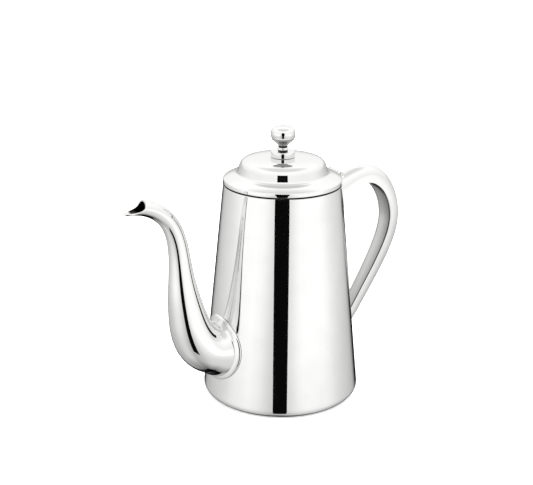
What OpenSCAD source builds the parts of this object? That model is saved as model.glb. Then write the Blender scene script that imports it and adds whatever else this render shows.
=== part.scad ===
// Silver coffee pot: a tapered round body with a swan-neck spout, a hollow loop handle
// and a hinged domed lid that carries a turned knob.
// Frame: +Z up, origin at the centre of the resting face, spout towards -X, handle towards +X.
// All lengths are in millimetres.

/* [Body] */
// Outer radius that the tapered wall would reach at the resting face
base_radius = 54.8; // [54.5:0.1:56]
// Outer radius of the wall at its top edge
mouth_radius = 40; // [39.8:0.1:40.2]
// Height of the wall's top edge
body_height = 149.4; // [149:0.1:149.6]
// Thickness of the body's wall
wall = 1.2; // [0.8:0.1:1.4]
// Radius of the bend where the wall turns under the pot
foot_round = 4.5; // [3:0.5:6]
// Inner radius of the turned-in foot, which holds the base plate
foot_inner_radius = 49; // [48.5:0.5:49.5]
// Bore of the ring that stiffens the mouth
mouth_ring_bore = 37.4; // [37.3:0.1:37.8]

/* [Spout] */
// Height of the centre of the spout's root
spout_root_z = 40.4; // [40:0.1:41]
// Thickness of the spout's sheet
spout_wall = 1; // [0.8:0.1:1.2]
// Radius of the pouring hole in the body's wall
pour_hole_radius = 14; // [12:0.5:15]
// Outer radius of the collar round the spout's root
collar_radius = 22.5; // [22:0.1:24]
// How far the mouth's lower lip reaches past its upper edge
lip_reach = 12.8; // [10:0.1:13]

/* [Handle] */
// Thickness of the handle's sheet
handle_wall = 0.9; // [0.7:0.1:1]
// How far the inner strip lies below the channel's edges
strip_recess = 0.4; // [0.2:0.1:0.6]

/* [Hinge] */
// Distance of the hinge's axis from the pot's axis
hinge_x = 43.2; // [43:0.1:43.6]
// Height of the hinge's axis
hinge_z = 150.9; // [150.7:0.1:151]
// Outer radius of the knuckles
knuckle_radius = 2; // [1.9:0.1:2.1]
// Length of the row of knuckles
hinge_length = 16; // [15:0.5:17]
// Radius of the hinge pin
pin_radius = 0.9; // [0.8:0.1:1]

/* [Lid] */
// Height of the underside of the lid's edge
lid_z = 150.2; // [150.1:0.1:150.4]
// Radius of the lid's edge
lid_radius = 40.2; // [40:0.1:40.4]
// Thickness of the lid's sheet
lid_wall = 1; // [0.8:0.1:1.2]
// Outer radius of the sleeve that drops into the mouth
sleeve_radius = 36.6; // [36:0.1:36.8]
// How far the sleeve hangs below the lid's edge
sleeve_drop = 6.2; // [4:0.1:8]

/* [Knob] */
// Radius of the knob's round foot
knob_foot_radius = 8.2; // [7:0.1:9]
// Height of the knob's foot
knob_foot_height = 3.9; // [3:0.1:4.2]
// Radius of the stud that holds the knob on
stud_radius = 1.5; // [1.3:0.1:1.6]

/* [Hidden] */

// Facets of a round; exact rounds come from every value over 12
round_fn = 96;
// Joints between soldered pieces are left this far open
solder_gap = 0.05;

// The wall loses this much radius per millimetre of height
taper = (base_radius - mouth_radius) / body_height;
// Length along the slope for one millimetre of height
slope_length = sqrt(1 + taper * taper);
// Centre of the bend at the foot
foot_centre = base_radius - taper * foot_round - foot_round * slope_length;
bend_steps = 8;

// Outer radius of the body at a height
function wall_radius(z) = base_radius - taper * z;

// Distance of the body's outer surface from the YZ plane
function wall_x(y, z) = sqrt(pow(wall_radius(z), 2) - y * y);

// Points of an arc in a section, from one angle to another
function arc(x, z, r, from, to, steps) =
    [for (i = [0:steps]) let (a = from + (to - from) * i / steps) [x + r * cos(a), z + r * sin(a)]];

// Smooth curve through the inner stations of a list; t runs from 0 to len(stations) - 3
function curve(s, t) =
    let (i = min(floor(t), len(s) - 4), f = t - i, a = s[i], b = s[i + 1], c = s[i + 2], d = s[i + 3])
    0.5 * (2 * b + (c - a) * f + (2 * a - 5 * b + 4 * c - d) * f * f
        + (3 * b - a - 3 * c + d) * f * f * f);

// Unit direction of that curve in the XZ plane
function heading(s, t) =
    let (e = 0.02, last = len(s) - 3, step = curve(s, min(t + e, last)) - curve(s, max(t - e, 0)))
    [step[0], step[1]] / norm([step[0], step[1]]);

// Skin over a row of closed loops. Each loop runs out along one face of the sheet and back
// along the other, so that its halves pair up across the sheet.
module sheet(loops) {
    n = len(loops);
    m = len(loops[0]);
    half = m / 2;
    points = [for (loop = loops) each loop];
    sides = [for (i = [0:n - 2], j = [0:m - 1])
        let (k = (j + 1) % m)
        each [[i * m + j, (i + 1) * m + k, (i + 1) * m + j], [i * m + j, i * m + k, (i + 1) * m + k]]];
    near_cap = [for (j = [0:half - 2])
        each [[j, m - 1 - j, j + 1], [j + 1, m - 1 - j, m - 2 - j]]];
    last = (n - 1) * m;
    far_cap = [for (f = near_cap) [last + f[0], last + f[2], last + f[1]]];
    polyhedron(points, concat(sides, near_cap, far_cap), convexity = 8);
}

// ---- body ----

// Section of the body's sheet: up the outside, down the inside
body_section = concat(
    [[foot_inner_radius, 0]],
    arc(foot_centre, foot_round, foot_round, -90, atan(taper), bend_steps),
    [[mouth_radius, body_height], [mouth_radius - wall * slope_length, body_height]],
    arc(foot_centre, foot_round, foot_round - wall, atan(taper), -90, bend_steps),
    [[foot_inner_radius, wall]]);

module body_shell() {
    color("silver") difference() {
        rotate_extrude($fn = round_fn) polygon(body_section);
        translate([0, 0, spout_root_z]) rotate([0, -90, 0])
            cylinder(r = pour_hole_radius, h = base_radius, $fn = round_fn);
    }
}

// Flat disc soldered inside the turned-in foot
module base_plate() {
    color("gainsboro") cylinder(r = foot_inner_radius - solder_gap, h = wall, $fn = round_fn);
}

// Ring inside the mouth; it stands above the wall and carries the lid
ring_bottom = 145.4;
ring_top = 151;
module mouth_ring() {
    inside = wall * slope_length + solder_gap;
    color("darkgray") rotate_extrude($fn = round_fn) polygon([
        [mouth_ring_bore, ring_bottom],
        [wall_radius(ring_bottom) - inside, ring_bottom],
        [mouth_radius - inside, body_height],
        [mouth_radius - inside, ring_top - 0.5],
        [mouth_radius - inside - 0.5, ring_top],
        [mouth_ring_bore, ring_top]]);
}

// ---- spout ----

// Stations along the spout: x, z, outer radius in the XZ plane and across it;
// the first and last only steer the ends
spout_stations = [
    [-42, 42.2, 18.4, 18.4],
    [-54, 40.7, 17.8, 17.8], [-60.5, 42.8, 17, 17], [-67.2, 49.2, 15.6, 15.6],
    [-71.9, 60, 14, 14], [-74.5, 72, 12.2, 12.2], [-76.4, 84, 10.4, 10.4],
    [-77.6, 95.5, 8.6, 8.6], [-78.5, 107.5, 7.3, 7.3], [-79.9, 120, 6.5, 6.5],
    [-82.9, 130, 6, 6], [-87.2, 137.3, 5.6, 5.6], [-93.6, 143.3, 5.4, 5.5],
    [-101, 147.1, 5.2, 5.8], [-108.8, 148.9, 5, 6], [-117, 149.5, 4.9, 6.1],
    [-125, 149.6, 4.9, 6.2]
];
spout_end = len(spout_stations) - 3;
// The mouth is trimmed from this station on
trim_start = spout_end - 3;
// Centre of the mouth's upper edge
mouth_back_x = -104.2;
// How sharply the lower lip draws in to its point
lip_power = 4.5;
spout_sides = 14;
rings_per_station = 3;

// Point on the spout: phi is 0 on the side that faces the body and 180 on the far side
function spout_point(t, phi, inset) =
    let (c = curve(spout_stations, t), h = heading(spout_stations, t),
        u = (c[2] - inset) * cos(phi), v = (c[3] - inset) * sin(phi))
    [c[0] + u * h[1], v, c[1] - u * h[0]];

// Where the trimmed mouth ends: the lower lip reaches furthest
function mouth_x(phi) = mouth_back_x - lip_reach * pow((1 - cos(phi)) / 2, lip_power);

// The station number at which the centre line passes x, between the trim's start and the end
function station_at(x, low = trim_start, high = spout_end, steps = 18) =
    let (mid = (low + high) / 2)
    steps == 0 ? mid
    : curve(spout_stations, mid)[0] > x ? station_at(x, mid, high, steps - 1)
    : station_at(x, low, mid, steps - 1);

// Point of the root's edge, laid on the body's wall
function root_point(phi, inset) =
    let (p = spout_point(0, phi, inset)) [-wall_x(p[1], p[2]) - solder_gap, p[1], p[2]];

// Rows of the spout: the root's edge, whole rings, then rings that lean into the trimmed mouth
trim_rings = 7;
function spout_row(k, phi, inset) =
    let (whole = trim_start * rings_per_station)
    k < 0 ? root_point(phi, inset)
    : k <= whole ? spout_point(k / rings_per_station, phi, inset)
    : let (s = (k - whole) / trim_rings, t_end = station_at(mouth_x(phi)))
      spout_point(trim_start + (t_end - trim_start) * s, phi, inset);

// One half of the spout; side is 1 for +Y and -1 for -Y
module spout_half(side) {
    out = [for (i = [0:spout_sides]) 180 * i / spout_sides];
    loops = [for (k = [-1:trim_start * rings_per_station + trim_rings])
        concat([for (a = out) spout_row(k, a, 0)],
               [for (i = [spout_sides:-1:0]) spout_row(k, out[i], spout_wall)])];
    if (side > 0) sheet(loops); else mirror([0, 1, 0]) sheet(loops);
}

module spout_left_half() {
    color("lightgray") spout_half(1);
}

module spout_right_half() {
    color("silver") spout_half(-1);
}

// Collar: a flat ring that follows the body's wall and rises towards the spout
collar_sides = 48;
collar_bore = 18.5;
collar_section = [[collar_bore, 0], [collar_bore, 4.2], [19.2, 2.9], [20.2, 2.1], [21.2, 1.6],
    [collar_radius - 0.4, 1.2], [collar_radius, 0.8], [collar_radius, 0],
    [(collar_radius + collar_bore) / 2, 0]];
function collar_point(rho, rise, phi) =
    let (y = rho * sin(phi), z = spout_root_z + rho * cos(phi))
    [-wall_x(y, z) - solder_gap - rise, y, z];

module spout_collar() {
    m = len(collar_section);
    n = collar_sides;
    points = [for (i = [0:n - 1], p = collar_section) collar_point(p[0], p[1], 360 * i / n)];
    faces = [for (i = [0:n - 1], j = [0:m - 1])
        let (a = i * m, b = ((i + 1) % n) * m, k = (j + 1) % m)
        each [[a + j, a + k, b + j], [a + k, b + k, b + j]]];
    color("gainsboro") polyhedron(points, faces, convexity = 8);
}

// ---- handle ----

// Stations along the handle: inner edge x and z, crown x and z, width;
// the first and last only steer the ends
handle_stations = [
    [37, 112.6, 37, 146, 15.6],
    [41.6, 119.6, 42, 146.4, 15.6], [46, 126, 47, 147.2, 15.6], [51, 132.5, 52, 149.6, 15.6],
    [56.8, 137.9, 58, 151.8, 15.6], [63, 141, 65.2, 152.8, 15.5], [69.5, 141.2, 73.8, 151.9, 15.4],
    [76, 138.2, 82.4, 147.8, 15.2], [81.5, 133, 89.8, 140.8, 15], [85.8, 126, 95.4, 131, 15],
    [88.4, 117.5, 98.8, 119.6, 14.8], [88.9, 109, 99.4, 108, 14.6], [87, 100, 97, 96.4, 14.2],
    [82.8, 90, 91.8, 84.7, 13.8], [76.5, 78, 84.8, 72.2, 13], [69.6, 66.6, 77.2, 60.6, 12.4],
    [62.8, 55.6, 69.8, 49.4, 11.8], [56.8, 46, 62.2, 38.4, 11.4], [52, 38.8, 53, 28, 11.2],
    [47, 33, 44, 19, 11.2]
];
handle_end = len(handle_stations) - 3;
handle_rings_per_station = 3;
handle_sides = 12;
// Below 1, this squares the crown's shoulders off a little
crown_power = 0.85;

// Point across the handle: width and depth give the section's own crown
function crown_point(width, depth, a) =
    [width / 2 * sign(cos(a)) * pow(abs(cos(a)), crown_power), depth * pow(sin(a), crown_power)];

// Place a point of the section (across, out) at a station; the ends lie on the body's wall
function handle_place(t, q) =
    let (c = curve(handle_stations, t), in = [c[0], c[1]], way = [c[2] - c[0], c[3] - c[1]],
        p = in + way / norm(way) * q[1])
    t <= 0 || t >= handle_end ? [wall_x(q[0], p[1]) + solder_gap, q[0], p[1]] : [p[0], q[0], p[1]];

function handle_depth(t) = let (c = curve(handle_stations, t)) norm([c[2] - c[0], c[3] - c[1]]);
function handle_width(t) = curve(handle_stations, t)[4];

handle_rows = [for (k = [0:handle_end * handle_rings_per_station]) k / handle_rings_per_station];

// Channel section: the outside of the crown and back along its inside
function channel_loop(t) =
    let (w = handle_width(t), d = handle_depth(t), g = handle_wall, m = handle_sides)
    concat([for (i = [0:m]) handle_place(t, crown_point(w, d, 180 * i / m))],
           [for (i = [m:-1:0]) handle_place(t, crown_point(w - 2 * g, d - g, 180 * i / m))]);

module handle_shell() {
    color("silver") sheet([for (t = handle_rows) channel_loop(t)]);
}

// Strip that closes the channel on the finger side
strip_gap = 0.1;
strip_sides = 6;
function strip_loop(t) =
    let (half = handle_width(t) / 2 - handle_wall - strip_gap, low = strip_recess,
        high = strip_recess + handle_wall,
        across = [for (i = [0:strip_sides]) half - 2 * half * i / strip_sides])
    concat([for (q = across) handle_place(t, [q, low])],
           [for (i = [strip_sides:-1:0]) handle_place(t, [across[i], high])]);

module handle_inner_strip() {
    color("darkgray") sheet([for (t = handle_rows) strip_loop(t)]);
}

// ---- hinge ----

knuckle_count = 5;
knuckle_pitch = hinge_length / knuckle_count;
side_gap = 0.15;
plate_bottom = 147.5;
plate_top = 148.4;
plate_back = 46;
// The pedestals under the fixed knuckles, measured from the hinge's axis
pedestal_front = 1.2;
pedestal_back = 1.8;
// How far pieces of one node run into each other
overlap = 0.1;
// Radial clearance of the pin in the lid's knuckles, and in the fixed ones
running_fit = 0.05;
fixed_fit = 0.02;

// Stretch of the hinge's row that a knuckle takes up, as a block to cut or keep with
module knuckle_span(i, x_low, x_high, z_low, z_high) {
    translate([x_low, -hinge_length / 2 + i * knuckle_pitch + side_gap, z_low])
        cube([x_high - x_low, knuckle_pitch - 2 * side_gap, z_high - z_low]);
}

// Round bar along the hinge's axis
module hinge_bar(r, length) {
    translate([hinge_x, 0, hinge_z]) rotate([90, 0, 0])
        cylinder(r = r, h = length, center = true, $fn = round_fn);
}

module knuckle(i) {
    translate([hinge_x, -hinge_length / 2 + (i + 0.5) * knuckle_pitch, hinge_z]) rotate([90, 0, 0])
        cylinder(r = knuckle_radius, h = knuckle_pitch - 2 * side_gap, center = true, $fn = round_fn);
}

// Plate soldered to the body under the barrel, with the three outer and middle knuckles
module hinge_bracket() {
    color("silver") difference() {
        union() {
            translate([mouth_radius - 1, -hinge_length / 2 + side_gap, plate_bottom])
                cube([plate_back - mouth_radius + 1, hinge_length - 2 * side_gap,
                    plate_top - plate_bottom]);
            for (i = [0:2:knuckle_count - 1]) {
                knuckle(i);
                knuckle_span(i, hinge_x - pedestal_front, hinge_x + pedestal_back,
                    plate_top - overlap, hinge_z);
            }
        }
        cylinder(r1 = base_radius + solder_gap, r2 = mouth_radius + solder_gap, h = body_height,
            $fn = round_fn);
        hinge_bar(pin_radius + fixed_fit, hinge_length + 2);
    }
}

// Pin through all five knuckles, peened over at both ends
module hinge_pin() {
    head = 0.5;
    head_radius = pin_radius + 0.4;
    color("dimgray") {
        hinge_bar(pin_radius, hinge_length);
        for (side = [-1, 1])
            translate([hinge_x, side * (hinge_length / 2 + head / 2), hinge_z]) rotate([90, 0, 0])
                cylinder(r = head_radius, h = head, center = true, $fn = round_fn);
    }
}

// Leaf on the lid's edge, with the two knuckles between the fixed ones
leaf_thickness = 0.6;
leaf_width = 13;
leaf_bottom = lid_z + 0.2;
leaf_top = lid_z + 2;
module hinge_leaf() {
    leaf_height = leaf_top - leaf_bottom;
    color("lightgray") difference() {
        union() {
            intersection() {
                translate([0, 0, leaf_bottom]) difference() {
                    cylinder(r = lid_radius + leaf_thickness, h = leaf_height, $fn = round_fn);
                    translate([0, 0, -1])
                        cylinder(r = lid_radius + solder_gap, h = leaf_height + 2, $fn = round_fn);
                }
                translate([0, -leaf_width / 2, leaf_bottom])
                    cube([hinge_x, leaf_width, leaf_height]);
            }
            for (i = [1:2:knuckle_count - 1]) {
                knuckle(i);
                knuckle_span(i, lid_radius + overlap, hinge_x, leaf_bottom, leaf_top);
            }
        }
        hinge_bar(pin_radius + running_fit, hinge_length + 2);
    }
}

// ---- lid ----

// Height of the lid's crown above its edge, on the outside
lid_crown = 17;
// Outside of the lid from its lower edge to the crown: radius, height above the edge
lid_outside = [
    [lid_radius, 0], [lid_radius, 2.2], [39.8, 2.8], [39, 3.3], [36.4, 4.5],
    [33.6, 5.3], [31.6, 6], [30.6, 6.9], [30.1, 8.3], [29.5, 10.2], [29, 12], [28, 14],
    [26.2, 15.5], [22.6, 16.4], [16, 16.8], [stud_radius, lid_crown]
];
lid_inside = [
    [lid_radius - lid_wall, 0], [lid_radius - lid_wall, 1.7], [38.6, 2.3], [36, 3.5],
    [33.2, 4.3], [31, 5.3], [29.8, 6.6], [29.1, 8.2], [28.5, 10], [28, 11.8], [27, 13.5],
    [25.6, 14.6], [22.4, 15.4], [16, 15.8], [stud_radius, lid_crown - lid_wall]
];

module lid_shell() {
    section = concat(lid_outside, [for (i = [len(lid_inside) - 1:-1:0]) lid_inside[i]]);
    color("whitesmoke") translate([0, 0, lid_z]) difference() {
        rotate_extrude($fn = round_fn) polygon(section);
        cylinder(r = stud_radius + solder_gap, h = 2 * lid_crown, $fn = round_fn);
    }
}

// Sleeve soldered under the lid, which centres it in the mouth
sleeve_top = 3;
module lid_sleeve() {
    color("silver") translate([0, 0, lid_z - sleeve_drop]) difference() {
        cylinder(r = sleeve_radius, h = sleeve_drop + sleeve_top, $fn = round_fn);
        translate([0, 0, -1])
            cylinder(r = sleeve_radius - lid_wall, h = sleeve_drop + sleeve_top + 2, $fn = round_fn);
    }
}

// ---- knob ----

knob_z = lid_z + lid_crown + solder_gap;
foot_top = knob_z + knob_foot_height;
knob_collar_height = 3.6;
finial_z = foot_top + solder_gap + knob_collar_height + solder_gap;
finial_height = 13.1;
// How deep the stud's hole goes into a turned piece, which is through all but the finial
stud_hole_depth = 8;

// A turned piece with the stud's hole
module turned(section, z) {
    translate([0, 0, z]) difference() {
        rotate_extrude($fn = round_fn) polygon(section);
        translate([0, 0, -1])
            cylinder(r = stud_radius + solder_gap, h = stud_hole_depth + 1, $fn = round_fn);
    }
}

module knob_foot() {
    r = knob_foot_radius;
    h = knob_foot_height;
    color("silver") turned([[0, 0], [r - 0.2, 0], [r, 0.3], [r, h - 0.5], [r - 0.4, h],
        [3.8, h], [0, h]], knob_z);
}

// Small ring between the foot and the finial, grooved above and below its bead
module knob_collar() {
    h = knob_collar_height;
    color("lightgray") turned([[0, 0], [3.3, 0], [3.1, 0.6], [3.6, 0.9], [3.75, 1.7], [3.6, 2.5],
        [3.1, 2.8], [3.1, h], [0, h]], foot_top + solder_gap);
}

module knob_finial() {
    color("silver") turned([[0, 0], [3.3, 0], [3.5, 0.5], [7.2, 4.1], [7.9, 5.6], [8.25, 7.1],
        [8.35, 8.4], [8.15, 9.9], [7.55, 11.2], [6.5, 12.1], [4.8, 12.7], [2.4, 13],
        [0, finial_height]], finial_z);
}

// Stud from the finial down through the lid; it stops just short of its hole's end
stud_bottom = lid_z + 11.4;
stud_top = finial_z + stud_hole_depth - 0.1;
module knob_stud() {
    color("dimgray") translate([0, 0, stud_bottom])
        cylinder(r = stud_radius, h = stud_top - stud_bottom, $fn = round_fn);
}

washer_radius = 4;
washer_height = 0.6;
// The crown curves down over the washer's width by this much
crown_fall = 0.25;
washer_z = lid_z + lid_crown - lid_wall - washer_height - crown_fall;
module knob_washer() {
    color("gray") translate([0, 0, washer_z]) difference() {
        cylinder(r = washer_radius, h = washer_height, $fn = round_fn);
        translate([0, 0, -1])
            cylinder(r = stud_radius + solder_gap, h = washer_height + 2, $fn = round_fn);
    }
}

nut_height = 2.4;
nut_across_corners = 6.6;
module knob_nut() {
    color("gray") translate([0, 0, washer_z - solder_gap - nut_height]) difference() {
        cylinder(d = nut_across_corners, h = nut_height, $fn = 6);
        translate([0, 0, -1]) cylinder(r = stud_radius + fixed_fit, h = nut_height + 2, $fn = round_fn);
    }
}

body_shell();
base_plate();
mouth_ring();
spout_left_half();
spout_right_half();
spout_collar();
handle_shell();
handle_inner_strip();
hinge_bracket();
hinge_pin();
hinge_leaf();
lid_shell();
lid_sleeve();
knob_foot();
knob_collar();
knob_finial();
knob_stud();
knob_washer();
knob_nut();
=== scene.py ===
# %% [markdown]
# # A silver coffee pot
# This notebook dresses a coffee pot: a tapered round body, a swan-neck spout, a hollow
# loop handle and a hinged domed lid with a turned knob. The mechanical model is loaded as a
# fixed frame. Every visible piece is then remade with a smoother shape, because polished
# silver shows each flat and each kink as a bent reflection.

# %% Load the frame
import math

import bmesh
import bpy
from mathutils import Matrix, Quaternion, Vector


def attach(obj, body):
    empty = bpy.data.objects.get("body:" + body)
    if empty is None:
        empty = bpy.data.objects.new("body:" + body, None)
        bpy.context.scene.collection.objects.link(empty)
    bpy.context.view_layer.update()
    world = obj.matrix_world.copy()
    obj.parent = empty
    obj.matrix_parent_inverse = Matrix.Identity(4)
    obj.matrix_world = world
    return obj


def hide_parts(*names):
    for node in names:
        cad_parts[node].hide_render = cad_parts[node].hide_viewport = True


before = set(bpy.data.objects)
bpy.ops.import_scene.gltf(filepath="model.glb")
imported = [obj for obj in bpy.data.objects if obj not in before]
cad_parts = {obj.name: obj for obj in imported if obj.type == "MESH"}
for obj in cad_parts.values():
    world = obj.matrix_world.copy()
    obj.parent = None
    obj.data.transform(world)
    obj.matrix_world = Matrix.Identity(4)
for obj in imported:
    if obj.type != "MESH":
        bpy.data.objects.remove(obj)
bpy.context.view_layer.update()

# %% [markdown]
# ## Soft lines and spinning
# Most of the pot was turned on a lathe, so most pieces are a section spun round the pot's
# axis. A section drawn with straight strokes would leave sharp rings in the polish. A cubic
# B-spline is used instead: it rounds every corner and its curvature has no jumps. A point
# that is named two or three times pulls the line closer, for a crisp edge.

# %% A soft line through a section, and a spun piece
MM = 0.001
AROUND = 192
# Points closer than this, in millimetres, are one point
MERGE = 0.002


def soft_line(marks, steps=6, closed=False):
    pull = [Vector(m[:2]) for m in marks for _ in range(m[2] if len(m) > 2 else 1)]
    if not closed:
        pull = [pull[0]] * 2 + pull + [pull[-1]] * 2
    line = []
    for i in range(len(pull) if closed else len(pull) - 3):
        a, b, c, d = (pull[(i + k) % len(pull)] for k in range(4))
        for s in range(steps):
            t = s / steps
            near = (3 * t ** 3 - 6 * t ** 2 + 4) * b
            far = (-3 * t ** 3 + 3 * t ** 2 + 3 * t + 1) * c
            line.append(((1 - t) ** 3 * a + near + far + t ** 3 * d) / 6)
    return line if closed else line + [pull[-1]]


def arc(x, z, r, start, end, steps):
    turns = [math.radians(start + (end - start) * i / steps) for i in range(steps + 1)]
    return [Vector((x + r * math.cos(a), z + r * math.sin(a))) for a in turns]


def raised(marks, height):
    return [(m[0], m[1] + height, *m[2:]) for m in marks]


def spun(line, closed=True):
    bm = bmesh.new()
    dots = [bm.verts.new((p.x, 0, p.y)) for p in line]
    next_dots = dots[1:] + dots[:1] if closed else dots[1:]
    for a, b in zip(dots, next_dots):
        bm.edges.new((a, b))
    bmesh.ops.remove_doubles(bm, verts=bm.verts, dist=MERGE)
    bmesh.ops.spin(bm, geom=bm.verts[:] + bm.edges[:], cent=(0, 0, 0), axis=(0, 0, 1),
                   dvec=(0, 0, 0), angle=2 * math.pi, steps=AROUND, use_merge=True)
    bmesh.ops.remove_doubles(bm, verts=bm.verts, dist=MERGE)
    return bm


corner_line = soft_line([(0, 0), (10, 0), (10, 10)])
print("a soft corner of three marks has", len(corner_line), "points")

# %% [markdown]
# ## From a bmesh to a piece
# Sections are drawn in millimetres and scaled to metres once, in the mesh, so that every
# object stays at the origin. Edges that turn by more than a set angle stay sharp, and the
# rest is shaded smooth.

# %% Make a piece that rides on a body
SHARP = math.radians(38)


def object_from(bm, name):
    mesh = bpy.data.meshes.new(name)
    bm.to_mesh(mesh)
    bm.free()
    thing = bpy.data.objects.new(name, mesh)
    bpy.context.scene.collection.objects.link(thing)
    return thing


def make_piece(bm, name, body, stands_for, turn_out=False):
    bmesh.ops.recalc_face_normals(bm, faces=bm.faces)
    if turn_out:
        bmesh.ops.reverse_faces(bm, faces=bm.faces)
    bmesh.ops.scale(bm, vec=(MM, MM, MM), verts=bm.verts)
    piece = object_from(bm, name)
    piece.data.shade_smooth()
    piece.data.set_sharp_from_angle(angle=SHARP)
    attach(piece, body)
    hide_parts(*stands_for)
    print(f"{name}: {len(piece.data.polygons)} faces")
    return piece


def ease_edges(piece, name, width, angle):
    eased = piece.modifiers.new(name, "BEVEL")
    eased.width = width * MM
    eased.segments = 2
    eased.limit_method = "ANGLE"
    eased.angle_limit = math.radians(angle)


print("pieces are drawn in millimetres and scaled by", MM)

# %% [markdown]
# ## Finishes
# The pot is copper alloy plated with silver and buffed to a mirror. Buffing leaves a faint
# haze and hairlines that only show where a reflection ends. Inside, nobody buffs: the metal
# keeps the fine rings of the spinning lathe. The pin, stud and nut are turned nickel silver,
# greyer and slightly warmer than the plate.

# %% Colours and nodes
def linear(code):
    parts = [int(code[i:i + 2], 16) / 255 for i in (0, 2, 4)]
    return [c / 12.92 if c <= 0.04045 else ((c + 0.055) / 1.055) ** 2.4 for c in parts] + [1]


def add(tree, kind, links=None, inputs=None, stops=(), **settings):
    node = tree.nodes.new(kind)
    for key, value in settings.items():
        setattr(node, key, value)
    for i, (place, colour) in enumerate(stops):
        elements = node.color_ramp.elements
        element = elements[i] if i < len(elements) else elements.new(1)
        element.position = place
        element.color = colour
    for key, value in (inputs or {}).items():
        node.inputs[key].default_value = value
    for key, socket in (links or {}).items():
        tree.links.new(socket, node.inputs[key])
    return node


def new_material(name, **shader):
    material = bpy.data.materials.new(name)
    material.use_nodes = True
    tree = material.node_tree
    tree.nodes.clear()
    surface = add(tree, "ShaderNodeBsdfPrincipled", inputs=shader)
    add(tree, "ShaderNodeOutputMaterial", {"Surface": surface.outputs["BSDF"]})
    place = add(tree, "ShaderNodeTexCoord").outputs["Object"]
    return material, tree, surface, place


print("bright silver, linear:", [round(c, 3) for c in linear("EBEBEA")])

# %% Mirror-polished silver plate
# Silver plate, buffed with rouge: a near-perfect mirror with a trace of haze.
# The haze drifts over about 12 mm. Hairlines are 0.05 mm wide on the real plate; here they
# are drawn about 0.4 mm wide, so that they show at all.
def polished_silver(name="silver_plate_buffed", bright="EBEBEA", worn="E7E7E6"):
    material, tree, surface, place = new_material(name, Metallic=1)
    drift = add(tree, "ShaderNodeTexNoise", {"Vector": place}, {"Scale": 80, "Detail": 3})
    tone = add(tree, "ShaderNodeValToRGB", {"Fac": drift.outputs["Fac"]},
               stops=[(0.3, linear(worn)), (0.7, linear(bright))])
    tree.links.new(tone.outputs["Color"], surface.inputs["Base Color"])
    stretch = add(tree, "ShaderNodeMapping", {"Vector": place},
                  {"Rotation": (0.4, 0.2, 0.7), "Scale": (1, 1, 0.06)})
    hair = add(tree, "ShaderNodeTexNoise", {"Vector": stretch.outputs["Vector"]},
               {"Scale": 2500, "Detail": 2})
    haze = add(tree, "ShaderNodeMath", {0: drift.outputs["Fac"], 1: hair.outputs["Fac"]},
               operation="MULTIPLY")
    rough = add(tree, "ShaderNodeMapRange", {"Value": haze.outputs["Value"]},
                {"From Min": 0.1, "From Max": 0.5, "To Min": 0.015, "To Max": 0.07})
    tree.links.new(rough.outputs["Result"], surface.inputs["Roughness"])
    return material


silver = polished_silver()
print("made", silver.name)


# %% Silver left as it came off the lathe
# The inside of the pot: plated over the spinning marks, so it is satin, with rings 1.4 mm
# apart that run round the axis and a slight grey from the coffee.
def spun_silver(name="silver_plate_spun_inside", light="DAD8D3", dark="A9A59C"):
    material, tree, surface, place = new_material(name, Metallic=1)
    stain = add(tree, "ShaderNodeTexNoise", {"Vector": place}, {"Scale": 55, "Detail": 5})
    tone = add(tree, "ShaderNodeValToRGB", {"Fac": stain.outputs["Fac"]},
               stops=[(0.35, linear(dark)), (0.65, linear(light))])
    tree.links.new(tone.outputs["Color"], surface.inputs["Base Color"])
    rings = add(tree, "ShaderNodeTexWave", {"Vector": place},
                {"Scale": 220, "Distortion": 0.6, "Detail": 2}, bands_direction="Z")
    rough = add(tree, "ShaderNodeMapRange", {"Value": stain.outputs["Fac"]},
                {"To Min": 0.18, "To Max": 0.34})
    tree.links.new(rough.outputs["Result"], surface.inputs["Roughness"])
    bump = add(tree, "ShaderNodeBump", {"Height": rings.outputs["Fac"]},
               {"Strength": 0.25, "Distance": 0.0001})
    tree.links.new(bump.outputs["Normal"], surface.inputs["Normal"])
    return material


inside_silver = spun_silver()
print("made", inside_silver.name)


# %% Brushed silver
# The strip inside the handle is hard to reach with a buff, so it is only drawn over with
# emery: fine lines along it, about 0.3 mm apart, and a softer shine. Its greyer colour is
# painted shade. Y runs across the strip. One side is painted darker, as a painted reflection;
# on a real pot that darkening is a reflection.
def brushed(name="silver_plate_brushed_painted_shade", light="C3C3C2", dark="8A8A88"):
    material, tree, surface, place = new_material(name, Metallic=1)
    drawn = add(tree, "ShaderNodeMapping", {"Vector": place}, {"Scale": (0.05, 1, 0.05)})
    lines = add(tree, "ShaderNodeTexNoise", {"Vector": drawn.outputs["Vector"]},
                {"Scale": 3300, "Detail": 1})
    parts = add(tree, "ShaderNodeSeparateXYZ", {"Vector": place})
    across = add(tree, "ShaderNodeMath", {0: lines.outputs["Fac"], 2: parts.outputs["Y"]},
                 {1: 0.0012}, operation="MULTIPLY_ADD")
    side = add(tree, "ShaderNodeMapRange", {"Value": across.outputs["Value"]},
               {"From Min": -0.0055, "From Max": 0.0035})
    tone = add(tree, "ShaderNodeValToRGB", {"Fac": side.outputs["Result"]},
               stops=[(0, linear(dark)), (1, linear(light))])
    tree.links.new(tone.outputs["Color"], surface.inputs["Base Color"])
    rough = add(tree, "ShaderNodeMapRange", {"Value": lines.outputs["Fac"]},
                {"To Min": 0.1, "To Max": 0.2})
    tree.links.new(rough.outputs["Result"], surface.inputs["Roughness"])
    return material


brushed_painted_shade_silver = brushed()
brushed_turned_painted_shade = brushed("silver_plate_brushed_turned_painted_shade", "A4A4A3", "9C9C9A")
print("made", brushed_painted_shade_silver.name, "and", brushed_turned_painted_shade.name)
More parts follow.
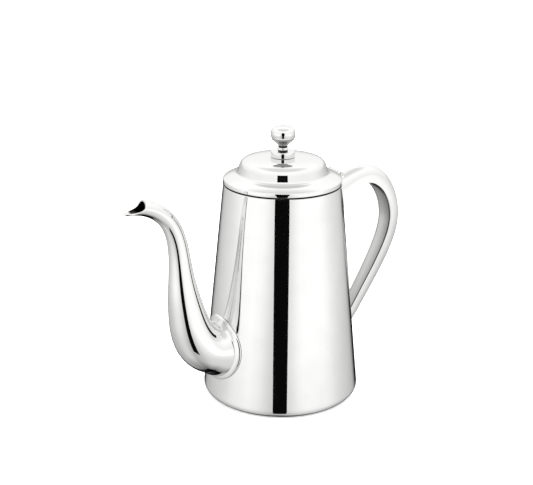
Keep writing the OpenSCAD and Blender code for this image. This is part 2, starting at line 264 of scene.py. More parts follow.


# %% Stained and shaded silver
# Inside the spout no cloth can reach: coffee stains the plate, and everywhere but near the tip
# it is painted nearly black as painted shade. Only the tip of the lip, which is wiped after
# pouring, stays bright. X measures the way out to the tip.
def stained_and_shaded(name="silver_plate_coffee_stain_and_painted_shade", clean="E4E2DD", stain="151310"):
    material, tree, surface, place = new_material(name, Metallic=1)
    parts = add(tree, "ShaderNodeSeparateXYZ", {"Vector": place})
    wander = add(tree, "ShaderNodeTexNoise", {"Vector": place}, {"Scale": 600, "Detail": 3})
    spread = add(tree, "ShaderNodeMath", {0: wander.outputs["Fac"], 2: parts.outputs["X"]},
                 {1: 0.0012}, operation="MULTIPLY_ADD")
    along = add(tree, "ShaderNodeMapRange", {"Value": spread.outputs["Value"]},
                {"From Min": -0.1122, "From Max": -0.1106})
    tone = add(tree, "ShaderNodeValToRGB", {"Fac": along.outputs["Result"]},
               stops=[(0, linear(clean)), (1, linear(stain))])
    tree.links.new(tone.outputs["Color"], surface.inputs["Base Color"])
    rough = add(tree, "ShaderNodeMapRange", {"Value": wander.outputs["Fac"]},
                {"To Min": 0.12, "To Max": 0.4})
    tree.links.new(rough.outputs["Result"], surface.inputs["Roughness"])
    return material


stain_and_painted_shade_silver = stained_and_shaded()
print("made", stain_and_painted_shade_silver.name)


# %% Silver in the corners
# Rouge and tarnish stay in the corner along a soldered joint, where the buff can't reach. It
# is dull and dark grey. Its dark colour is also painted shade: it draws the thin dark line
# round each joint and seam, in the knob's grooves and along one edge of the handle strip.
def cornered(name="silver_plate_tarnish_and_painted_shade", light="4A4947", dark="1F1E1D"):
    material, tree, surface, place = new_material(name, Metallic=1)
    grime = add(tree, "ShaderNodeTexNoise", {"Vector": place}, {"Scale": 900, "Detail": 4})
    tone = add(tree, "ShaderNodeValToRGB", {"Fac": grime.outputs["Fac"]},
               stops=[(0.35, linear(dark)), (0.7, linear(light))])
    tree.links.new(tone.outputs["Color"], surface.inputs["Base Color"])
    rough = add(tree, "ShaderNodeMapRange", {"Value": grime.outputs["Fac"]},
                {"To Min": 0.35, "To Max": 0.6})
    tree.links.new(rough.outputs["Result"], surface.inputs["Roughness"])
    return material


tarnish_and_painted_shade_silver = cornered()
print("made", tarnish_and_painted_shade_silver.name)


# %% Turned nickel silver
# Copper, nickel and zinc, cut on a small lathe and wiped, not buffed: warm grey, semi-matt,
# with tool rings about 0.5 mm apart and patches of darker oil. The pin lies along Y, so its
# rings are spaced along Y, and its nickel is painted paler than the stud's and nut's, as
# painted light.
def turned_nickel(name="nickel_silver_turned", light="B4B1A8", dark="67645C", along="Z"):
    material, tree, surface, place = new_material(name, Metallic=1)
    oil = add(tree, "ShaderNodeTexNoise", {"Vector": place}, {"Scale": 400, "Detail": 4})
    tone = add(tree, "ShaderNodeValToRGB", {"Fac": oil.outputs["Fac"]},
               stops=[(0.3, linear(dark)), (0.6, linear(light))])
    tree.links.new(tone.outputs["Color"], surface.inputs["Base Color"])
    rings = add(tree, "ShaderNodeTexWave", {"Vector": place}, {"Scale": 600, "Detail": 1},
                bands_direction=along)
    rough = add(tree, "ShaderNodeMapRange", {"Value": oil.outputs["Fac"]},
                {"To Min": 0.2, "To Max": 0.42})
    tree.links.new(rough.outputs["Result"], surface.inputs["Roughness"])
    bump = add(tree, "ShaderNodeBump", {"Height": rings.outputs["Fac"]},
               {"Strength": 0.4, "Distance": 0.00005})
    tree.links.new(bump.outputs["Normal"], surface.inputs["Normal"])
    return material


nickel = turned_nickel()
# The pin's copy is painted paler: painted light.
nickel_across_painted_light = turned_nickel("nickel_silver_turned_pin_painted_light", "DEDDDA", "C2C1BD", "Y")
print("made", nickel.name, "and", nickel_across_painted_light.name)

# %% [markdown]
# ## The body
# A sheet spun to a straight taper, turned in under the foot. The section is one closed line,
# up the outside and down the inside, so the wall has its real thickness everywhere. Two extra
# rings above and below the spout keep the cut of the pouring hole inside a small patch, which
# the collar hides.

# %% Body wall
BASE_R = 54.8
MOUTH_R = 40.0
BODY_H = 149.4
WALL = 1.2
TAPER = (BASE_R - MOUTH_R) / BODY_H
SLOPE = math.sqrt(1 + TAPER * TAPER)
LEAN = math.degrees(math.atan(TAPER))
FOOT_BEND = 4.5
FOOT_X = BASE_R - TAPER * FOOT_BEND - FOOT_BEND * SLOPE
SPOUT_Z = 40.4
FOOT_BORE = 49


def wall_r(z):
    return BASE_R - TAPER * z


def wall_x(y, z):
    return math.sqrt(wall_r(z) ** 2 - y * y)


CUT_HALF = 15.2
cut_zone = (SPOUT_Z - CUT_HALF, SPOUT_Z + CUT_HALF)
inner = WALL * SLOPE
wall_outside = [Vector((FOOT_BORE, 0))] + arc(FOOT_X, FOOT_BEND, FOOT_BEND, -90, LEAN, 18)
wall_outside += [Vector((wall_r(z), z)) for z in (7, *cut_zone, 100, 148.2, BODY_H - 0.35)]
top_edge = [Vector((MOUTH_R - 0.12, BODY_H - 0.1)), Vector((MOUTH_R - 0.35, BODY_H)),
            Vector((MOUTH_R - inner + 0.3, BODY_H)), Vector((MOUTH_R - inner, BODY_H - 0.3))]
wall_inside = [Vector((wall_r(z) - inner, z)) for z in (148.2, 100, *reversed(cut_zone), 7)]
wall_inside += arc(FOOT_X, FOOT_BEND, FOOT_BEND - WALL, LEAN, -90, 12)
wall_inside += [Vector((FOOT_BORE, WALL))]
body_mesh = spun(wall_outside + top_edge + wall_inside)
body_wall = make_piece(body_mesh, "body_wall", "pot", ["body_shell"])

# %% [markdown]
# The pouring hole is cut with a Boolean, as a hole saw would cut it, and the cutter is thrown
# away. Faces that look towards the axis then get the unpolished finish. The top edge gets the
# dull, dark corner material: painted shade that draws the dark line under the lid.

# %% Pouring hole, the wall's two finishes, and painted shade on its top edge
HOLE_R = 14
SAW_LENGTH = 50
SAW_X = -50
cutter_mesh = bmesh.new()
bmesh.ops.create_cone(cutter_mesh, cap_ends=True, segments=64, radius1=HOLE_R * MM,
                      radius2=HOLE_R * MM, depth=SAW_LENGTH * MM)
bmesh.ops.rotate(cutter_mesh, verts=cutter_mesh.verts, cent=(0, 0, 0),
                 matrix=Matrix.Rotation(math.pi / 2, 3, "Y"))
bmesh.ops.translate(cutter_mesh, verts=cutter_mesh.verts,
                    vec=(SAW_X * MM, 0, SPOUT_Z * MM))
cutter = object_from(cutter_mesh, "hole_saw")
cutter_data = cutter.data
hole = body_wall.modifiers.new("pour_hole", "BOOLEAN")
hole.operation = "DIFFERENCE"
hole.solver = "EXACT"
hole.object = cutter
bpy.context.view_layer.objects.active = body_wall
bpy.ops.object.modifier_apply(modifier="pour_hole")
bpy.data.objects.remove(cutter)
bpy.data.meshes.remove(cutter_data)
body_wall.data.set_sharp_from_angle(angle=SHARP)


# A normal never points down by more than 1, so a downward limit of 2 hides no face
def finish_inside(piece, inward=0.2, downward=2):
    piece.data.materials.append(silver)
    piece.data.materials.append(inside_silver)
    for face in piece.data.polygons:
        axis_way = Vector((face.center.x, face.center.y, 0)).normalized()
        hidden = face.normal.z < -downward or face.normal.dot(axis_way) < -inward
        face.material_index = 1 if hidden else 0


finish_inside(body_wall)
body_wall.data.materials.append(tarnish_and_painted_shade_silver)
# The top edge, in the seam under the lid, gets the dark corner material: painted shade.
DULL_SHADED_EDGE = 0.5
for face in body_wall.data.polygons:
    if face.center.z > (BODY_H - DULL_SHADED_EDGE) * MM:
        face.material_index = 2
print("wall with hole:", len(body_wall.data.polygons), "faces")

# %% [markdown]
# ## Base plate and mouth ring
# The base is a thin disc, pressed slightly hollow so that the pot stands on its rim, and
# soldered inside the turned-in foot. The ring in the mouth is a stout hoop: it keeps the thin
# wall round, and the lid sits over it. Its outer side looks into the seam, is dull, and is
# painted dark as painted shade.

# %% Base plate
plate_marks = [(0, 0.75, 3), (20, 0.72), (40, 0.5), (44.5, 0.35), (45.5, 0.12), (47, 0.1),
               (48.95, 0.15, 3), (48.95, 1.2, 3), (0, 1.2, 3)]
base_plate = make_piece(spun(soft_line(plate_marks), closed=False), "base_disc", "pot",
                        ["base_plate"])
base_plate.data.materials.append(silver)

# %% Mouth ring
ring_marks = [(37.4, 145.5, 2), (37.6, 145.4, 2), (39.1, 145.4, 2), (38.75, 149.4),
              (38.75, 150.4, 2), (38.3, 150.95, 2), (37.6, 151, 2), (37.4, 150.8, 2)]
mouth_hoop = make_piece(spun(soft_line(ring_marks, 4, closed=True)), "mouth_hoop", "pot",
                        ["mouth_ring"])
mouth_hoop.data.materials.append(silver)
mouth_hoop.data.materials.append(tarnish_and_painted_shade_silver)
# The outer side, in the seam, gets the dark corner material: painted shade.
SEAM_R = 38.6
for face in mouth_hoop.data.polygons:
    in_seam = math.hypot(face.center.x, face.center.y) > SEAM_R * MM
    face.material_index = 1 if in_seam else 0

# %% [markdown]
# ## Lofted pieces
# The spout, its collar and the handle are not round about the pot's axis. Each is a row of
# rings along a curved line. A ring starts as a circle from bmesh, its points are moved to
# their places, and each pair of neighbours is bridged. The line runs through a few given
# stations; many in-between stations are then averaged a little, as a hammer and buff even out
# a bent tube.

# %% Stations, rings and bridging
def between(rows, t):
    i = min(int(t), len(rows) - 4)
    f = t - i
    a, b, c, d = (Vector(rows[i + k]) for k in range(4))
    return 0.5 * (2 * b + (c - a) * f + (2 * a - 5 * b + 4 * c - d) * f ** 2
                  + (3 * b - a - 3 * c + d) * f ** 3)


def evened(rows, fine, passes):
    line = [between(rows, k / fine) for k in range((len(rows) - 3) * fine + 1)]
    for _ in range(passes):
        inner_rows = [(a + 2 * b + c) / 4 for a, b, c in zip(line, line[1:], line[2:])]
        line = [line[0]] + inner_rows + [line[-1]]
    return line


def loft(rings, fill_ends=False, close=False):
    bm = bmesh.new()
    hoops = []
    for places in rings:
        verts = bmesh.ops.create_circle(bm, segments=len(places), radius=1)["verts"]
        for vert, place in zip(verts, places):
            vert.co = place
        hoops.append(list({e for v in verts for e in v.link_edges}))
    following = hoops[1:] + hoops[:1] if close else hoops[1:]
    end_loops = [hoops[0], hoops[-1]]
    for a, b in zip(hoops, following):
        bmesh.ops.bridge_loops(bm, edges=a + b)
    if fill_ends:
        for edges in end_loops:
            bmesh.ops.contextual_create(bm, geom=edges)
    return bm


test_rows = evened([(0, 0), (1, 0), (2, 0), (3, 0)], 4, 1)
print("one gap between stations gives", len(test_rows), "rows")

# %% [markdown]
# ## The spout
# A swan-neck tube, wide where it leaves the body and narrow at the mouth. The real one is two
# stamped halves soldered along the middle and polished until the seam is gone, so one skin
# stands for both. Its mouth is trimmed on a slant to a pointed lower lip.

# %% Spout skin
# Each station: X, Z, half the depth and half the width. The angle round the spout, phi, is 0
# on its upper side and pi on its lower side.
SPOUT = [
    (-42, 42.2, 18.4, 18.4),
    (-54, 40.7, 17.8, 17.8), (-60.5, 42.8, 17, 17), (-67.2, 49.2, 15.6, 15.6),
    (-71.9, 60, 14, 14), (-74.5, 72, 12.2, 12.2), (-76.4, 84, 10.4, 10.4),
    (-77.6, 95.5, 8.6, 8.6), (-78.5, 107.5, 7.3, 7.3), (-79.9, 120, 6.5, 6.5),
    (-82.9, 130, 6, 6), (-87.2, 137.3, 5.6, 5.6), (-93.6, 143.3, 5.4, 5.5),
    (-101, 147.1, 5.2, 5.8), (-108.8, 148.9, 5, 6), (-117, 149.5, 4.9, 6.1),
    (-125, 149.6, 4.9, 6.2)]
FINE = 8
SPOUT_SIDES = 64
spout_line = evened(SPOUT, FINE, 24)
SPOUT_END = len(spout_line) - 1
TRIM = SPOUT_END - 3 * FINE


def spout_at(k, phi, inset=0):
    low = min(int(k), SPOUT_END - 1)
    here = spout_line[low].lerp(spout_line[low + 1], k - low)
    way = spout_line[min(low + 2, SPOUT_END)] - spout_line[max(low - 1, 0)]
    way = Vector((way[0], way[1])).normalized()
    u = (here[2] - inset) * math.cos(phi)
    v = (here[3] - inset) * math.sin(phi)
    return Vector((here[0] + u * way.y, v, here[1] - u * way.x))


MOUTH_TOP_X = -104.2
LIP_REACH = 12.8


def below(phi):
    return (1 - math.cos(phi)) / 2


def trimmed_end(phi):
    goal = MOUTH_TOP_X - LIP_REACH * below(phi) ** 4.5
    low, high = TRIM, SPOUT_END
    for _ in range(18):
        middle = (low + high) / 2
        at = int(middle)
        x = spout_line[at].lerp(spout_line[min(at + 1, SPOUT_END)], middle - at)[0]
        low, high = (middle, high) if x > goal else (low, middle)
    return (low + high) / 2


around_spout = [2 * math.pi * i / SPOUT_SIDES for i in range(SPOUT_SIDES)]
spout_ends = [trimmed_end(phi) for phi in around_spout]
spout_rings = []
for k in range(TRIM):
    spout_rings.append([spout_at(k, phi) for phi in around_spout])
LEAN_RINGS = 18
for k in range(LEAN_RINGS + 1):
    spout_rings.append([spout_at(TRIM + (end - TRIM) * k / LEAN_RINGS, phi)
                        for phi, end in zip(around_spout, spout_ends)])
root = [Vector((-wall_x(p.y, p.z), p.y, p.z)) for p in spout_rings[0]]
spout_rings.insert(0, root)
spout = make_piece(loft(spout_rings), "spout", "pot",
                   ["spout_left_half", "spout_right_half"], turn_out=True)
spout.data.materials.append(silver)
# The inside of the tube gets the stained material, painted nearly black as painted shade.
spout.data.materials.append(stain_and_painted_shade_silver)
sheet_wall = spout.modifiers.new("sheet_thickness", "SOLIDIFY")
sheet_wall.thickness = 1.0 * MM
sheet_wall.offset = -1
sheet_wall.use_even_offset = True
sheet_wall.material_offset = 1
sheet_wall.material_offset_rim = 0
ease_edges(spout, "rounded_lip", 0.22, 55)

# %% [markdown]
# ## The spout's collar
# Where the spout meets the body, a saddle-shaped collar hides the solder. It starts as a thin
# flange with a rounded edge that follows the wall, and turns up into the spout in a tight
# hollow. Below, where the spout leaves the wall steeply, the hollow is longer than above.

# %% Collar
COLLAR_R = 22.5
COLLAR_SIDES = 96
around_collar = [2 * math.pi * i / COLLAR_SIDES for i in range(COLLAR_SIDES)]


def on_wall(rho, rise, phi):
    y = rho * math.sin(phi)
    z = SPOUT_Z + rho * math.cos(phi)
    return Vector((-wall_x(y, z) - rise, y, z))


def sweep(u, phi):
    start = on_wall(19.1 + 1.1 * math.cos(phi) ** 2, 1.8, phi)
    end = spout_at(FINE * (0.65 + 1.35 * below(phi) ** 4), phi)
    waist = on_wall(18.5 + 2.0 * below(phi) ** 4, 1.9 + 4.8 * below(phi) ** 4, phi)
    return start * (1 - u) ** 2 + waist * 2 * u * (1 - u) + end * u * u


flange = [(COLLAR_R - 0.35, 0), (COLLAR_R - 0.35, 0.2), (COLLAR_R - 0.06, 0.28),
          (COLLAR_R, 0.55), (COLLAR_R - 0.12, 0.9), (COLLAR_R - 0.4, 1.25),
          (COLLAR_R - 0.85, 1.53), (COLLAR_R - 1.45, 1.72), (COLLAR_R - 2.1, 1.8)]
collar_rings = [[on_wall(rho, rise, phi) for phi in around_collar] for rho, rise in flange]
SWEEP_RINGS = 14
for k in range(SWEEP_RINGS + 1):
    collar_rings.append([sweep(k / SWEEP_RINGS, phi) for phi in around_collar])
collar_rings.append([spout_at(FINE * 0.3, phi, 0.4) for phi in around_collar])
collar_rings.append([on_wall(17, 0, phi) for phi in around_collar])
collar = make_piece(loft(collar_rings, close=True), "spout_saddle", "pot",
                    ["spout_collar"])
collar.data.materials.append(silver)
collar.data.materials.append(tarnish_and_painted_shade_silver)


def rise_of(p):
    return -p.x - wall_x(p.y, p.z)


# Faces against the wall get the dark corner material, tarnish and painted shade that draw the
# dark line round the joint; the top of the collar stays bright.
DULL_SHADED_RISE = 0.45
BRIGHT_ABOVE = SPOUT_Z + 14
for face in collar.data.polygons:
    corner = max(rise_of(collar.data.vertices[v].co / MM) for v in face.vertices) < DULL_SHADED_RISE
    bright_top = face.center.z > BRIGHT_ABOVE * MM
    face.material_index = 1 if corner and not bright_top else 0

# %% [markdown]
# ## The handle
# A hollow loop: a crowned channel of sheet on the outside, closed on the finger side by a
# slightly dished strip that sits a little below the channel's edges. The section turns and
# narrows along the loop, so it is lofted, too.

# %% Handle channel
# Each station: X and Z on the finger side, X and Z on the crown, and the width
HANDLE = [
    (37, 112.6, 37, 146, 15.6),
    (41.6, 119.6, 42, 146.4, 15.6), (46, 126, 47, 147.2, 15.6), (51, 132.5, 52, 149.6, 15.6),
    (56.8, 137.9, 58, 151.8, 15.6), (63, 141, 65.2, 152.8, 15.5),
    (69.5, 141.2, 73.8, 151.9, 15.4), (76, 138.2, 82.4, 147.8, 15.2),
    (81.5, 133, 89.8, 140.8, 15), (85.8, 126, 95.4, 131, 15), (88.4, 117.5, 98.8, 119.6, 14.8),
    (88.9, 109, 99.4, 108, 14.6), (87, 100, 97, 96.4, 14.2), (82.8, 90, 91.8, 84.7, 13.8),
    (76.5, 78, 84.8, 72.2, 13), (69.6, 66.6, 77.2, 60.6, 12.4), (62.8, 55.6, 69.8, 49.4, 11.8),
    (56.8, 46, 62.2, 38.4, 11.4), (52, 38.8, 53, 28, 11.2), (47, 33, 44, 19, 11.2)]
HANDLE_WALL = 0.9
handle_line = evened(HANDLE, 6, 14)
handle_last = len(handle_line) - 1


def handle_place(k, across, out):
    row = handle_line[k]
    foot = Vector((row[0], row[1]))
    way = (Vector((row[2], row[3])) - foot).normalized()
    p = foot + way * out
    if k in (0, handle_last):
        return Vector((wall_x(across, p.y), across, p.y))
    return Vector((p.x, across, p.y))


CROWN_STEPS = 28
# Below 1, this makes the crown squarer than an ellipse
CROWN_POWER = 0.85


def crown(width, depth):
    turns = [math.pi * i / CROWN_STEPS for i in range(CROWN_STEPS + 1)]
    return [(width / 2 * math.copysign(abs(math.cos(a)) ** CROWN_POWER, math.cos(a)),
             depth * abs(math.sin(a)) ** CROWN_POWER) for a in turns]


def channel(k):
    row = handle_line[k]
    depth = (Vector((row[2], row[3])) - Vector((row[0], row[1]))).length
    skin = crown(row[4], depth)
    lining = crown(row[4] - 2 * HANDLE_WALL, depth - HANDLE_WALL)
    return [handle_place(k, *q) for q in skin + lining[::-1]]


handle_mesh = loft([channel(k) for k in range(handle_last + 1)], fill_ends=True)
handle = make_piece(handle_mesh, "handle_channel", "pot", ["handle_shell"])
handle.data.materials.append(silver)
ease_edges(handle, "eased_edges", 0.2, 60)

# %% Handle strip
# The room at each side, the depth of the strip's edges and of its back below the channel's
# edges, and how far it is dished
STRIP_ROOM = 0.1
STRIP_LOW = 0.4
STRIP_HIGH = 1.3
BOW = 0.6
shares = [1 - 2 * i / 12 for i in range(13)]


def strip(k):
    half = handle_line[k][4] / 2 - HANDLE_WALL - STRIP_ROOM
    bow = [(half * t, STRIP_LOW + BOW * (1 - t ** 2)) for t in shares]
    return [handle_place(k, *q) for q in bow + [(x, STRIP_HIGH) for x, _ in bow[::-1]]]


def strip_half_at(p):
    nearest = min(handle_line, key=lambda row: math.hypot(row[0] * MM - p.x, row[1] * MM - p.z))
    return (nearest[4] / 2 - HANDLE_WALL - STRIP_ROOM) * MM


strip_mesh = loft([strip(k) for k in range(handle_last + 1)], fill_ends=True)
handle_strip = make_piece(strip_mesh, "handle_strip", "pot",
                          ["handle_inner_strip"])
# The strip is painted grey, with one side painted darker: painted shade and a painted
# reflection.
handle_strip.data.materials.append(brushed_painted_shade_silver)
handle_strip.data.materials.append(tarnish_and_painted_shade_silver)
# The near edge of the strip gets the dark corner material: painted shade under the channel's
# rim.
DULL_SHADED_SHARE = 0.62
for face in handle_strip.data.polygons:
    shaded_y = -DULL_SHADED_SHARE * strip_half_at(face.center)
    face.material_index = 1 if face.center.y < shaded_y else 0

# %% [markdown]
# ## The lid
# One sheet, spun over a former: a flat-edged brim, a rising shoulder, an upright drum and a
# low crown. A short sleeve under it drops into the mouth. Below the crown, a washer and a nut
# hold the knob's stud.

# %% Lid shell
LID_Z = 150.2
lid_outside = [(40.2, 0, 2), (40.2, 2.2), (39.85, 2.8), (39, 3.35), (36.4, 4.5), (33.6, 5.3),
               (31.5, 5.95), (30.55, 6.75), (30.1, 8.2), (29.5, 10.2), (29, 12), (28, 14),
               (26.2, 15.5), (22.6, 16.4), (16, 16.85), (9, 17), (1.55, 17, 3)]
lid_inside = [(1.55, 16, 3), (9, 16), (16, 15.8), (22.4, 15.4), (25.6, 14.6), (27, 13.5),
              (28, 11.8), (28.5, 10), (29.1, 8.2), (29.8, 6.6), (31, 5.3), (33.2, 4.3),
              (36, 3.5), (38.6, 2.4), (39.2, 1.7), (39.2, 0, 2)]
lid_mesh = spun(soft_line(raised(lid_outside + lid_inside, LID_Z), 5, closed=True))
lid = make_piece(lid_mesh, "lid_dome", "lid", ["lid_shell"])
finish_inside(lid, inward=0.5, downward=0.5)

# %% Lid sleeve
sleeve_marks = [(35.6, 144.3), (35.75, 144.05, 2), (36.1, 144, 2), (36.45, 144.05, 2),
                (36.6, 144.3), (36.6, 153, 3), (35.6, 153, 3)]
sleeve = make_piece(spun(soft_line(sleeve_marks, 4, closed=True)), "lid_sleeve_tube", "lid",
                    ["lid_sleeve"])
finish_inside(sleeve)

# %% [markdown]
# ## The knob
# Three turned pieces on one stud: a round foot, a small beaded neck and a finial shaped like
# a blunt top. The crease under the finial's belly is where the cutting tool changed direction,
# so that point is named three times. The neck's grooves are tarnished and painted dark as
# painted shade, and the finial's underside is brushed and painted darker as painted shade.

# %% Knob foot, neck and finial
KNOB_Z = 167.25
foot_marks = [(1.55, 0, 3), (7.8, 0, 2), (8.2, 0.2, 2), (8.2, 3.5, 2), (7.95, 3.85, 2),
              (6.6, 3.9), (3.6, 3.9), (1.55, 3.9, 3)]
foot_line = soft_line(raised(foot_marks, KNOB_Z), 5, closed=True)
knob_foot = make_piece(spun(foot_line), "knob_disc", "lid", ["knob_foot"])
NECK_Z = 171.2
neck_marks = [(1.55, 0, 3), (3.3, 0, 2), (3.15, 0.4), (3.0, 0.65, 2), (3.65, 0.95), (3.8, 1.7),
              (3.65, 2.45), (3.0, 2.75, 2), (3.1, 3.2), (3.1, 3.6, 3), (1.55, 3.6, 3)]
neck_line = soft_line(raised(neck_marks, NECK_Z), 5, closed=True)
knob_neck = make_piece(spun(neck_line), "knob_neck", "lid",
                       ["knob_collar"])
TOP_Z = 174.85
top_marks = [(0, 0, 3), (3.1, 0, 2), (3.35, 0.2, 2), (3.6, 0.6), (7.2, 4.1, 3), (7.9, 5.6),
             (8.25, 7.1), (8.37, 8.4), (8.17, 9.9), (7.55, 11.2), (6.5, 12.15), (4.8, 12.75),
             (2.4, 13), (0, 13.05, 3)]
top_line = soft_line(raised(top_marks, TOP_Z))
finial = make_piece(spun(top_line, closed=False), "knob_top", "lid",
                    ["knob_finial"])
for turned_piece in (knob_foot, knob_neck, finial):
    turned_piece.data.materials.append(silver)
knob_neck.data.materials.append(tarnish_and_painted_shade_silver)
# The grooves get the dark corner material: tarnish and painted shade.
GROOVE_R = 3.3
for face in knob_neck.data.polygons:
    groove = math.hypot(face.center.x, face.center.y) < GROOVE_R * MM
    face.material_index = 1 if groove else 0
# Faces that look down get a darker copy of the brushed material: painted shade on the underside.
finial.data.materials.append(brushed_turned_painted_shade)
for face in finial.data.polygons:
    underside = face.normal.z < -0.35
    face.material_index = 1 if underside else 0

# %% [markdown]
# ## Small hardware
# The hinge, its pin, the stud, the washer and the nut already have their true shape in the
# frame. A merged copy of each gets eased edges, because no real edge is perfectly sharp and
# the thin bright line along it is what makes it look like metal.

# %% Eased copies of the hardware
def eased_copy(node, name, body, finish, width=0.12):
    bm = bmesh.new()
    bm.from_mesh(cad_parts[node].data)
    bmesh.ops.remove_doubles(bm, verts=bm.verts, dist=MERGE * MM)
    bmesh.ops.scale(bm, vec=(1 / MM, 1 / MM, 1 / MM), verts=bm.verts)
    bmesh.ops.dissolve_limit(bm, angle_limit=math.radians(0.5), verts=bm.verts,
                             edges=bm.edges)
    piece = make_piece(bm, name, body, [node])
    piece.data.materials.append(finish)
    ease_edges(piece, "eased_edges", width, 40)


eased_copy("hinge_bracket", "hinge_seat", "pot", silver)
eased_copy("hinge_pin", "hinge_rod", "pot", nickel_across_painted_light, 0.1)
eased_copy("hinge_leaf", "hinge_flap", "lid", silver)
eased_copy("knob_stud", "knob_screw", "lid", nickel, 0.2)
eased_copy("knob_washer", "knob_shim", "lid", nickel, 0.15)
eased_copy("knob_nut", "knob_lock", "lid", nickel, 0.2)

# %% [markdown]
# ## Stage
# The floor is a plain pale card. The world is a white tent around the pot, with a slit that
# the lens looks through. The slit is what puts the upright black stripe on the polish, and
# the tent darkens towards its far side, which gives the body its soft grey edges. The tent is
# a little different left and right of the lens, so the two edges aren't alike.

# %% Floor
FLOOR_R = 4
floor_mesh = bmesh.new()
bmesh.ops.create_circle(floor_mesh, cap_ends=True, segments=96, radius=FLOOR_R)
floor = object_from(floor_mesh, "floor")
floor_paint, floor_tree, floor_surface, floor_place = new_material(
    "matt_white_card", Roughness=0.9)
fibre = add(floor_tree, "ShaderNodeTexNoise", {"Vector": floor_place}, {"Scale": 900})
paper = add(floor_tree, "ShaderNodeValToRGB", {"Fac": fibre.outputs["Fac"]},
            stops=[(0.4, linear("F4F4F4")), (0.6, linear("F8F8F8"))])
floor_tree.links.new(paper.outputs["Color"], floor_surface.inputs["Base Color"])
floor.data.materials.append(floor_paint)
# The polish mirrors the tent's own floor side, not the card
floor.visible_glossy = False
print("floor:", 2 * FLOOR_R, "metres across")

# %% Camera
AIM = Vector((0, 0, 106.4)) * MM
BACK = 711.0 * MM
AZIMUTH = math.radians(-33)
PITCH = math.radians(19.13)
TURN = 0.01561
ROLL = math.radians(0.4)
back_way = Vector((math.sin(AZIMUTH) * math.cos(PITCH), -math.cos(AZIMUTH) * math.cos(PITCH),
                   math.sin(PITCH)))
lens = bpy.data.cameras.new("camera")
lens.lens = 70
lens.sensor_width = 36
lens.clip_start = 0.01
camera = bpy.data.objects.new("camera", lens)
bpy.context.scene.collection.objects.link(camera)
camera.location = AIM + back_way * BACK
yaw = Quaternion((0, 0, 1), TURN)
roll = Quaternion((0, 0, 1), ROLL)
camera.rotation_mode = "QUATERNION"
camera.rotation_quaternion = yaw @ (-back_way).to_track_quat("-Z", "Y") @ roll
bpy.context.scene.camera = camera
print("camera at", [round(c, 4) for c in camera.location])

# %% World: directions measured from the slit
world = bpy.data.worlds.new("white_tent")
bpy.context.scene.world = world
world.use_nodes = True
sky = world.node_tree
sky.nodes.clear()
way = add(sky, "ShaderNodeTexCoord").outputs["Generated"]
lens_way = math.atan2(back_way.y, back_way.x)
seen = add(sky, "ShaderNodeVectorRotate", {"Vector": way},
           {"Angle": -lens_way}, rotation_type="Z_AXIS")
seen_parts = add(sky, "ShaderNodeSeparateXYZ", {"Vector": seen.outputs["Vector"]})
round_way = add(sky, "ShaderNodeMath",
                {0: seen_parts.outputs["Y"], 1: seen_parts.outputs["X"]}, operation="ARCTAN2")
half_turn = add(sky, "ShaderNodeMath", {0: round_way.outputs["Value"]}, operation="ABSOLUTE")
share = add(sky, "ShaderNodeMath", {0: half_turn.outputs["Value"]}, {1: math.pi},
            operation="DIVIDE")
height = add(sky, "ShaderNodeMath", {0: seen_parts.outputs["Z"]}, operation="ARCSINE")
print("the slit is", round(math.degrees(lens_way), 1), "degrees round from X")


# %% Walls of the tent
# Pairs give a direction in degrees away from the slit and a grey level from 0 to 255
def grey(value):
    return linear(f"{value:02X}" * 3)


TENT = [(0, 224), (14, 226), (20, 236), (27, 247), (34, 253), (45, 255), (70, 255), (80, 249),
        (90, 238), (100, 229), (110, 221), (124, 211), (140, 194), (148, 165), (157, 60),
        (164, 20), (180, 20)]
walls = add(sky, "ShaderNodeValToRGB", {"Fac": share.outputs["Value"]},
            stops=[(a / 180, grey(v)) for a, v in TENT])
# The tent stays pale higher up at its far side
UPPER_TENT = TENT[:-4] + [(150, 188), (180, 178)]
upper_walls = add(sky, "ShaderNodeValToRGB", {"Fac": share.outputs["Value"]},
                  stops=[(a / 180, grey(v)) for a, v in UPPER_TENT])
# Left and right of the lens the tent isn't quite the same
SIDES = [(-180, 255), (-110, 250), (-84, 243), (-66, 248), (-48, 254), (-34, 246), (-24, 241),
         (-12, 238), (0, 250), (12, 255), (136, 255), (146, 225), (153, 120), (180, 90)]
turn_share = add(sky, "ShaderNodeMapRange", {"Value": round_way.outputs["Value"]},
                 {"From Min": -math.pi, "From Max": math.pi})
sides = add(sky, "ShaderNodeValToRGB", {"Fac": turn_share.outputs["Result"]},
            stops=[((a + 180) / 360, grey(v)) for a, v in SIDES])
sided_walls = add(sky, "ShaderNodeMix", {6: walls.outputs["Color"], 7: sides.outputs["Color"]},
                  {"Factor": 1.0}, data_type="RGBA", blend_type="MULTIPLY")
waist_share = add(sky, "ShaderNodeMapRange", {"Value": height.outputs["Value"]},
                  {"From Min": math.radians(-14), "From Max": math.radians(-7)})
all_walls = add(sky, "ShaderNodeMix",
                {"Factor": waist_share.outputs["Result"], 6: sided_walls.outputs[2],
                 7: upper_walls.outputs["Color"]}, data_type="RGBA")
print("tent walls:", len(TENT), "tones round,", len(SIDES), "left to right")

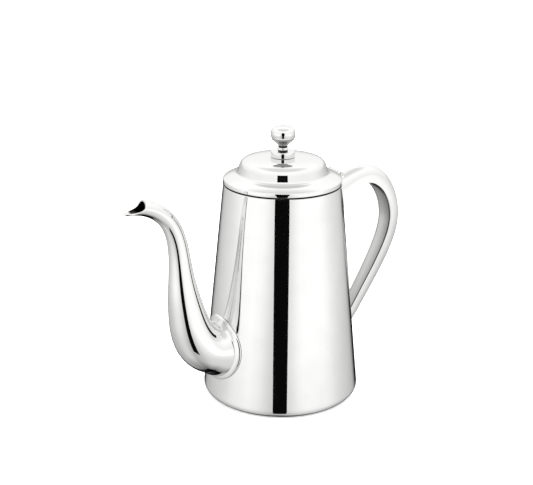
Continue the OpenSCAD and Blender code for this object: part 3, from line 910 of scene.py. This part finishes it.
# %% Roof and floor side of the tent
# Here the degrees are the height above or below the horizon
ROOF = [(0, 234), (12, 238), (20, 244), (35, 252), (50, 255), (60, 232), (70, 219), (90, 216)]
up_share = add(sky, "ShaderNodeMapRange", {"Value": height.outputs["Value"]},
               {"From Max": math.radians(90)})
roof = add(sky, "ShaderNodeValToRGB", {"Fac": up_share.outputs["Result"]},
           stops=[(a / 90, grey(v)) for a, v in ROOF])
eaves_share = add(sky, "ShaderNodeMapRange", {"Value": height.outputs["Value"]},
                  {"From Min": math.radians(2), "From Max": math.radians(12)})
roofed = add(sky, "ShaderNodeMix",
             {"Factor": eaves_share.outputs["Result"], 6: all_walls.outputs[2],
              7: roof.outputs["Color"]}, data_type="RGBA")
FLOOR_SIDE = [(0, 255), (14, 255), (17, 247), (22, 234), (35, 218), (60, 208), (75, 165),
              (90, 110)]
down_share = add(sky, "ShaderNodeMapRange", {"Value": height.outputs["Value"]},
                 {"From Max": math.radians(-90)})
lower = add(sky, "ShaderNodeValToRGB", {"Fac": down_share.outputs["Result"]},
            stops=[(a / 90, grey(v)) for a, v in FLOOR_SIDE])
whole_tent = add(sky, "ShaderNodeMix", {6: roofed.outputs[2], 7: lower.outputs["Color"]},
                 {"Factor": 1.0}, data_type="RGBA", blend_type="MULTIPLY")
print("tent roof:", len(ROOF), "tones up,", len(FLOOR_SIDE), "tones down")

# %% Slit of the tent, and the light
# The slit is wider above than below. Mirror reflections see the tent. All other rays see an
# even white, which lights the floor.
SLIT_TOP = math.radians(25)
SLIT_FOOT = math.radians(-45)
SLIT_WIDENS = (math.radians(-16.7), math.radians(-6.2))
SLIT_HALVES = (math.radians(10.2), math.radians(13.5))
SLIT_GREY = 8
TENT_STRENGTH = 1.24
OPEN_STRENGTH = 2.2
slit_half = add(sky, "ShaderNodeMapRange", {"Value": height.outputs["Value"]},
                {"From Min": SLIT_WIDENS[0], "From Max": SLIT_WIDENS[1],
                 "To Min": SLIT_HALVES[0], "To Max": SLIT_HALVES[1]})
beside = add(sky, "ShaderNodeMath", {0: half_turn.outputs["Value"],
                                      1: slit_half.outputs["Result"]}, operation="LESS_THAN")
slit_top = add(sky, "ShaderNodeMath", {0: height.outputs["Value"]}, {1: SLIT_TOP},
               operation="LESS_THAN")
slit_foot = add(sky, "ShaderNodeMath", {0: height.outputs["Value"]}, {1: SLIT_FOOT},
                operation="GREATER_THAN")
slit = add(sky, "ShaderNodeMath", {0: beside.outputs["Value"], 1: slit_top.outputs["Value"]},
           operation="MULTIPLY")
whole_slit = add(sky, "ShaderNodeMath",
                 {0: slit.outputs["Value"], 1: slit_foot.outputs["Value"]}, operation="MULTIPLY")
tent = add(sky, "ShaderNodeMix",
           {"Factor": whole_slit.outputs["Value"], 6: whole_tent.outputs[2]},
           {7: grey(SLIT_GREY)}, data_type="RGBA")
rays = add(sky, "ShaderNodeLightPath")
mirrored = add(sky, "ShaderNodeBackground", {"Color": tent.outputs[2]},
               {"Strength": TENT_STRENGTH})
open_light = add(sky, "ShaderNodeBackground",
                 inputs={"Color": grey(255), "Strength": OPEN_STRENGTH})
shown = add(sky, "ShaderNodeMixShader", {0: rays.outputs["Is Glossy Ray"],
                                         1: open_light.outputs["Background"],
                                         2: mirrored.outputs["Background"]})
add(sky, "ShaderNodeOutputWorld", {"Surface": shown.outputs["Shader"]})
bpy.context.scene.view_settings.view_transform = "Standard"
print("world nodes:", len(sky.nodes))
